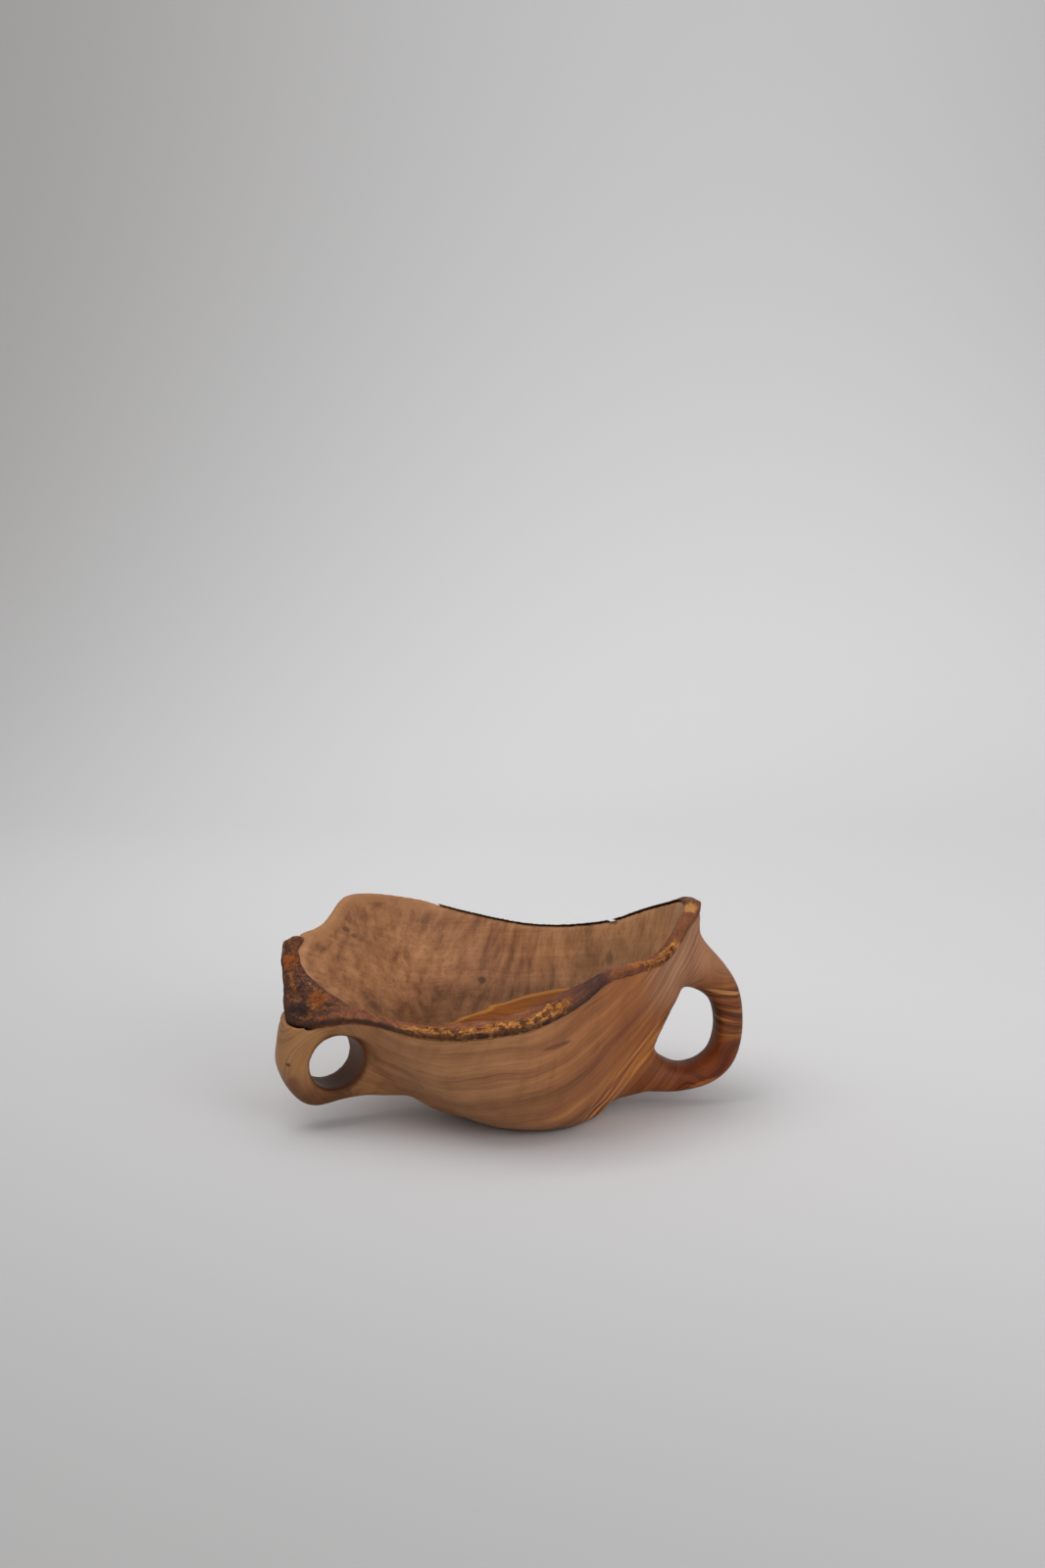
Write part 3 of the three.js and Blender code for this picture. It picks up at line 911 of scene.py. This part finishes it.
def hollow_painted_shade_and_fibres(tree, wood, colour):
    """Painted shade low in the hollow, darker and greyer there, a paler tone painted as light at its right
    end, and upright fibres there.
    """
    x, z, hollow = wood.x, wood.z, wood.hollow
    # painted shade low in the hollow, darker and greyer towards its floor and at its lower right
    low_hollow_shade = product(tree, ramped(tree, z, 0.1, 0.055), ramped(tree, x, 0.07, 0.0), hollow, 0.85)
    colour = tinted(tree, low_hollow_shade, colour, dye(180, 172, 164), "MULTIPLY")
    left_hollow = product(tree, ramped(tree, x, -0.08, -0.13), hollow, 0.4)
    colour = tinted(tree, left_hollow, colour, dye(222, 216, 212), "MULTIPLY")
    # painted light: the right end of the hollow is made paler to stand in for light its wall lacks
    colour = tinted(tree, product(tree, wood.right_hollow, 0.65), colour, dye(189, 143, 98))
    low_right_shade = product(tree, ramped(tree, z, 0.122, 0.085), ramped(tree, x, 0.015, 0.05), hollow, 0.5)
    colour = tinted(tree, low_right_shade, colour, dye(206, 204, 202), "MULTIPLY")
    standing = shaded(tree, wood.upright, STANDING_MARKS)
    standing_share = product(tree, between(tree, wood.right_hollow, 0.32, 0.42), hollow)
    return tinted(tree, standing_share, colour, standing, "MULTIPLY")


def grain_marks(tree, wood, colour):
    """Soft curly figure, mostly inside, then growth lines, fibres and pores."""
    x, z = wood.x, wood.z
    curl = shaded(tree, wood.figure, CURL_MARKS)
    colour = tinted(tree, between(tree, wood.hollow, 0.35, 0.65), colour, curl, "MULTIPLY")
    up_bar = product(tree, ramped(tree, z, 0.085, 0.094), ramped(tree, z, 0.135, 0.118))
    swirl = product(tree, ramped(tree, x, 0.11, 0.124), up_bar, wood.outside, 0.8)
    quiet = reckon(tree, "MAXIMUM", swirl, product(tree, wood.right_hollow, 0.6))
    lively = reckon(tree, "SUBTRACT", 1.0, quiet)
    lines = shaded(tree, wood.lines, LINE_MARKS)
    line_share = product(tree, between(tree, wood.hollow, 0.34, 0.22), lively)
    colour = tinted(tree, line_share, colour, lines, "MULTIPLY")
    fibres = shaded(tree, wood.fibre, FIBRE_MARKS)
    fibre_share = product(tree, between(tree, wood.hollow, 0.45, 0.3), lively)
    colour = tinted(tree, fibre_share, colour, fibres, "MULTIPLY")
    pits = product(tree, ramped(tree, wood.pores, 0.66, 0.76), 0.35)
    return tinted(tree, pits, colour, dye(74, 46, 32))


def painted_hole_shade(tree, wood, colour):
    """Painted shade on the walls of both finger holes."""
    from_left = from_axis(tree, wood.place, LEFT_HOLE, LEFT_YAW)
    from_right = from_axis(tree, wood.place, RIGHT_HOLE, RIGHT_YAW)
    bore = product(tree, ramped(tree, from_left, 0.0245, 0.0205), ramped(tree, wood.x, -0.1, -0.12))
    bar_inside = product(tree, ramped(tree, from_right, 0.027, 0.021), 0.6)
    # the walls inside both holes are darkened as painted shade
    return tinted(tree, reckon(tree, "MAXIMUM", bore, bar_inside), colour, dye(176, 150, 114), "MULTIPLY")


def sapwood(tree, wood, colour):
    """An orange lens of sapwood low on the far side of the hollow, with a yellow upper border."""
    x, y = wood.x, wood.y
    height = ramped(tree, x, -0.04, 0.0, SAP_LEFT, SAP_RIGHT)
    edge = reckon(tree, "MULTIPLY_ADD", x, SAP_RISE, height)
    below_edge = reckon(tree, "SUBTRACT", edge, wood.z)
    under = reckon(tree, "MULTIPLY_ADD", swing(tree, wood.bands), 0.02, below_edge)
    ends = product(tree, ramped(tree, x, -0.07, -0.05), ramped(tree, x, 0.085, 0.055))
    far_side = product(tree, ends, ramped(tree, y, 0.015, 0.04), wood.hollow)
    depth = product(tree, ramped(tree, under, -0.0005, 0.001), ramped(tree, under, 0.026, 0.012))
    lens = product(tree, depth, far_side, 0.92)
    colour = tinted(tree, lens, colour, shaded(tree, wood.lines, SAP_TONE))
    upper_edge = product(tree, ramped(tree, under, -0.0008, 0.0004), ramped(tree, under, 0.0028, 0.0012))
    border = product(tree, upper_edge, far_side, 0.6)
    return tinted(tree, border, colour, dye(206, 142, 62))


def turn_stripes(tree, wood, colour):
    """Orange and dark stripes along the right-hand turn of the wall."""
    x, y, z = wood.x, wood.y, wood.z
    off_turn = reckon(tree, "MULTIPLY_ADD", z, TURN_UP, TURN_OFFSET)
    off_turn = reckon(tree, "MULTIPLY_ADD", x, TURN_ALONG, off_turn)
    width = product(tree, ramped(tree, off_turn, -0.013, -0.007), ramped(tree, off_turn, 0.011, 0.004))
    front = product(tree, ramped(tree, x, 0.028, 0.045), ramped(tree, y, 0.02, 0.0))
    strip = product(tree, width, front, ramped(tree, z, 0.085, 0.06), wood.outside, 0.8)
    stripes = mottle(tree, drawn_out(tree, z, y, off_turn, 60, 2.4), 1.0, 2.0, 0.6)
    return tinted(tree, strip, colour, shaded(tree, stripes, TURN_TONE))


def single_marks(tree, wood, colour):
    for centre, size, turn, strength, stain in MARKS:
        spot = near_point(tree, wood.place, centre, size, turn)
        ragged = reckon(tree, "MULTIPLY_ADD", swing(tree, wood.fibre), 0.8, spot)
        share = product(tree, ramped(tree, ragged, 0.1, 0.6), strength)
        colour = tinted(tree, share, colour, stain)
    return colour


def rim_edges(tree, wood, colour):
    """The sanded cut along the bare rim, a pale band inside the ear and a dark line along the bark."""
    cut_share = ramped(tree, stored(tree, "cut_edge"), 0.35, 0.65, 0.0, 0.6)
    colour = tinted(tree, cut_share, colour, dye(170, 119, 76))
    from_bark = stored(tree, "from_bark")
    at_ear = product(tree, ramped(tree, wood.x, -0.04, -0.09), wood.hollow, 0.4)
    pale_band = product(tree, ramped(tree, from_bark, 9 * MM, 3 * MM), at_ear)
    colour = tinted(tree, pale_band, colour, dye(204, 148, 108))
    to_front = ramped(tree, wood.y, 0.07, 0.03, 0.25, 0.75)
    dark_line = product(tree, ramped(tree, from_bark, 1.6 * MM, 0.5 * MM), to_front)
    return tinted(tree, dark_line, colour, dye(62, 36, 24))


def carved_wood(layers):
    finish, tree, shader = new_finish("carved_wood")
    wood = wood_inputs(tree, layers)
    colour = main_tones(tree, wood)
    colour = hollow_painted_shade_and_fibres(tree, wood, colour)
    colour = grain_marks(tree, wood, colour)
    colour = painted_hole_shade(tree, wood, colour)
    colour = sapwood(tree, wood, colour)
    colour = turn_stripes(tree, wood, colour)
    colour = single_marks(tree, wood, colour)
    colour = rim_edges(tree, wood, colour)
    tree.links.new(colour, shader.inputs["Base Color"])
    tree.links.new(reckon(tree, "MULTIPLY_ADD", wood.fibre, 0.24, 0.40), shader.inputs["Roughness"])
    shader.inputs["Specular IOR Level"].default_value = 0.25
    relief(tree, shader, wood.fibre, 0.10, 0.35 * MM)
    return finish


# The finish of the bark

def bark_crumbs():
    """Crumbly inner bark: flakes from near black through orange to straw yellow."""
    inputs = (("Place", "NodeSocketVector"), ("Yellow", "NodeSocketFloat"))
    outputs = (("Color", "NodeSocketColor"), ("Flakes", "NodeSocketFloat"))
    group, given, out = new_group("bark_crumbs", inputs, outputs)
    flakes = mottle(group, given["Place"], 1.0, 4.0, 0.7, 0.9)
    lift = reckon(group, "MULTIPLY_ADD", swing(group, given["Yellow"]), 0.22, flakes)
    group.links.new(shaded(group, lift, CRUMB_TONE), out["Color"])
    group.links.new(flakes, out["Flakes"])
    return group


def bark_inputs(tree, layers):
    """What the colour of the bark is worked out from."""
    bark = SimpleNamespace()
    bark.place = own_place(tree)
    bark.across = stored(tree, "across")
    bark.bearing = stored(tree, "bearing")
    bark.on_ear = ramped(tree, bark.bearing, EAR_END, EAR_FULL)
    bark.blotch = swing(tree, mottle(tree, bark.place, 70.0, 3.0, 0.6))
    bark.fray = swing(tree, mottle(tree, bark.place, 330.0, 3.0, 0.6))
    grain = placed_group(tree, layers)
    tree.links.new(bark.place, grain.inputs["Place"])
    bark.fibre = grain.outputs["Fibre"]
    return bark


def along_rim(tree, bearing, stops):
    """A colour by bearing round the rim."""
    first, last = stops[0][0], stops[-1][0]
    share = ramped(tree, bearing, first, last, run="LINEAR")
    return shaded(tree, share, [((at - first) / (last - first), colour) for at, colour in stops])


def bark_skin(tree, bark):
    """The skin, streaked along the grain and blotched, with painted glints on its pale streaks."""
    colour = along_rim(tree, reckon(tree, "MULTIPLY_ADD", bark.blotch, 12.0, bark.bearing), SKIN)
    streak = reckon(tree, "MULTIPLY_ADD", bark.blotch, 0.9, bark.fibre)
    colour = tinted(tree, 0.75, colour, shaded(tree, streak, SKIN_MARKS), "MULTIPLY")
    # painted glints: the pale streaks of the skin are lightened as highlights
    painted_glint = ramped(tree, streak, 0.6, 0.85, 0.0, 0.3)
    return tinted(tree, painted_glint, colour, dye(188, 128, 80))


def crumbly_share(tree, bark):
    """Where the inner bark shows: the outer side of the stretches listed, and most of the ear."""
    wander = reckon(tree, "MULTIPLY_ADD", bark.blotch, 0.8, bark.across)
    wander = reckon(tree, "MULTIPLY_ADD", bark.fray, 0.4, wander)
    inner_limit = between(tree, bark.on_ear, 0.46, 0.75)
    outer_side = ramped(tree, reckon(tree, "SUBTRACT", wander, inner_limit), 0.08, -0.08)
    shown = 0.0
    for start, end, fade, share in CRUMBLED:
        begins = ramped(tree, bark.bearing, start - fade, start)
        ends = ramped(tree, bark.bearing, end + fade, end)
        shown = reckon(tree, "MAXIMUM", shown, product(tree, begins, ends, share))
    return product(tree, outer_side, shown)


def broken_bark(tree, bark, crumbs):
    """The crumbs themselves, drawn out along the rim and yellower in front than on the ear."""
    broken = placed_group(tree, crumbs)
    along = reckon(tree, "MULTIPLY_ADD", bark.blotch, 3.0, reckon(tree, "MULTIPLY", bark.bearing, 0.34))
    place = vector_of(tree, along, reckon(tree, "MULTIPLY", bark.across, 4.5), 0.0)
    tree.links.new(place, broken.inputs["Place"])
    tree.links.new(between(tree, bark.on_ear, 0.57, 0.2), broken.inputs["Yellow"])
    return broken.outputs


def bark_marks(tree, bark, colour):
    """Patches, black cracks and a dark outer edge."""
    for centre, size, strength, stain in PATCHES:
        spot = near_point(tree, bark.place, centre, size)
        ragged = reckon(tree, "MULTIPLY_ADD", bark.fray, 1.3, reckon(tree, "ADD", spot, bark.blotch))
        share = product(tree, ramped(tree, ragged, 0.14, 0.55), ramped(tree, spot, 0.0, 0.12), strength)
        colour = tinted(tree, share, colour, stain)
    off_crack = reckon(tree, "ABSOLUTE", swing(tree, mottle(tree, bark.place, 85.0, 4.0, 0.65, 1.5)))
    crack = product(tree, ramped(tree, off_crack, 0.035, 0.008), between(tree, bark.on_ear, 0.3, 0.8))
    colour = tinted(tree, crack, colour, dye(28, 20, 17))
    from_edge = reckon(tree, "MULTIPLY_ADD", bark.fray, 0.25, bark.across)
    to_front = product(tree, ramped(tree, bark.bearing, 326, 312), 0.8)
    edge_line = product(tree, ramped(tree, from_edge, 0.16, 0.02), reckon(tree, "MAXIMUM", 0.3, to_front))
    return tinted(tree, edge_line, colour, dye(48, 29, 22))


def rim_bark(layers, crumbs):
    """Bark with a skin on the hollow's side and crumbly inner bark towards the outer edge."""
    finish, tree, shader = new_finish("rim_bark")
    bark = bark_inputs(tree, layers)
    crumbly = crumbly_share(tree, bark)
    broken = broken_bark(tree, bark, crumbs)
    colour = tinted(tree, crumbly, bark_skin(tree, bark), broken["Color"])
    colour = bark_marks(tree, bark, colour)
    tree.links.new(colour, shader.inputs["Base Color"])
    tree.links.new(ramped(tree, crumbly, 0.0, 1.0, 0.5, 0.7), shader.inputs["Roughness"])
    shader.inputs["Specular IOR Level"].default_value = 0.2
    relief(tree, shader, broken["Flakes"], 0.35, 0.8 * MM)
    return finish


# Room: a plain pale sweep, soft light from above and a little from the front

def pale_paper():
    """Paper that is palest behind the bowl and lies in soft shade away from there."""
    finish, tree, shader = new_finish("pale_paper")
    x, y, _ = axes_of(tree, own_place(tree))
    off_x = reckon(tree, "MULTIPLY_ADD", x, PALE_STRETCH, -PALE_OFFSET)
    off_y = reckon(tree, "SUBTRACT", y, PALE_BACK)
    away = reckon(tree, "SQRT", reckon(tree, "MULTIPLY_ADD", off_x, off_x, product(tree, off_y, off_y)))
    beside = ramped(tree, reckon(tree, "ABSOLUTE", x), 4.0, 1.0)
    shade = product(tree, ramped(tree, away, 0.6, 2.4), beside, ramped(tree, y, -5.0, -1.0))
    tree.links.new(tinted(tree, shade, PALE_PAPER, SHADED_PAPER), shader.inputs["Base Color"])
    shader.inputs["Roughness"].default_value = 0.9
    shader.inputs["Specular IOR Level"].default_value = 0.1
    return finish


def lay_sweep():
    bpy.ops.object.select_all(action="DESELECT")
    bpy.ops.mesh.primitive_plane_add(size=SWEEP_SIZE, location=(0, FLOOR_BACK - SWEEP_SIZE / 2, 0))
    sweep = bpy.context.object
    sweep.name = "pale_sweep"
    sweep.data.materials.append(pale_paper())
    bpy.ops.object.transform_apply(location=True)
    bpy.ops.object.mode_set(mode="EDIT")
    bpy.ops.mesh.select_mode(type="VERT")
    bpy.ops.mesh.select_all(action="DESELECT")
    bpy.ops.object.mode_set(mode="OBJECT")
    for corner in sweep.data.vertices:
        corner.select = corner.co.y > FLOOR_BACK - 0.01
    bpy.ops.object.mode_set(mode="EDIT")
    bpy.ops.mesh.extrude_region_move(TRANSFORM_OT_translate={"value": (0, 0, WALL_HEIGHT)})
    bpy.ops.object.mode_set(mode="OBJECT")
    turn = sweep.modifiers.new("turn", "BEVEL")
    turn.width = SWEEP_TURN
    turn.segments = SWEEP_TURN_STEPS
    turn.limit_method = "ANGLE"
    finish_modifiers(sweep)
    bpy.ops.object.shade_smooth()


def hang_lamp(name, place, target, size, power):
    lamp = bpy.data.lights.new(name, "AREA")
    lamp.shape = "RECTANGLE"
    lamp.size, lamp.size_y = size
    lamp.energy = power
    hung = bpy.data.objects.new(name, lamp)
    bpy.context.scene.collection.objects.link(hung)
    hung.location = place
    hung.rotation_euler = (Vector(target) - Vector(place)).to_track_quat("-Z", "Y").to_euler()


def light_room():
    for lamp in LAMPS:
        hang_lamp(*lamp)
    world = bpy.data.worlds.new("room")
    bpy.context.scene.world = world
    world.use_nodes = True
    sky = world.node_tree.nodes["Background"]
    sky.inputs["Color"].default_value = (1, 1, 1, 1)
    sky.inputs["Strength"].default_value = SKY_STRENGTH


def set_camera():
    view = bpy.data.cameras.new("photo_view")
    view.lens = LENS
    view.sensor_width = FILM_WIDTH
    camera = bpy.data.objects.new("photo_view", view)
    bpy.context.scene.collection.objects.link(camera)
    camera.location = CAMERA_PLACE
    camera.rotation_euler = (math.radians(CAMERA_TILT), 0, 0)
    bpy.context.scene.camera = camera


layers = growth_layers()
crumbs = bark_crumbs()
wood = carved_wood(layers)
bark = rim_bark(layers, crumbs)

ring = grow_bark()
strips = []
for node, start, end, start_askew, end_askew in STRETCHES:
    strip = cut_stretch(ring, node, start, end, start_askew, end_askew)
    strip.data.materials.append(bark)
    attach(strip, "root")
    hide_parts(node)
    strips.append(strip)
bpy.data.objects.remove(ring)

bowl = carve_bowl()
mark_hollow(bowl)
mark_bark_distance(bowl, strips)
bowl.data.materials.append(wood)
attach(bowl, "root")
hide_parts("bowl_body")

lay_sweep()
light_room()
set_camera()
bpy.context.scene.view_settings.view_transform = "Standard"
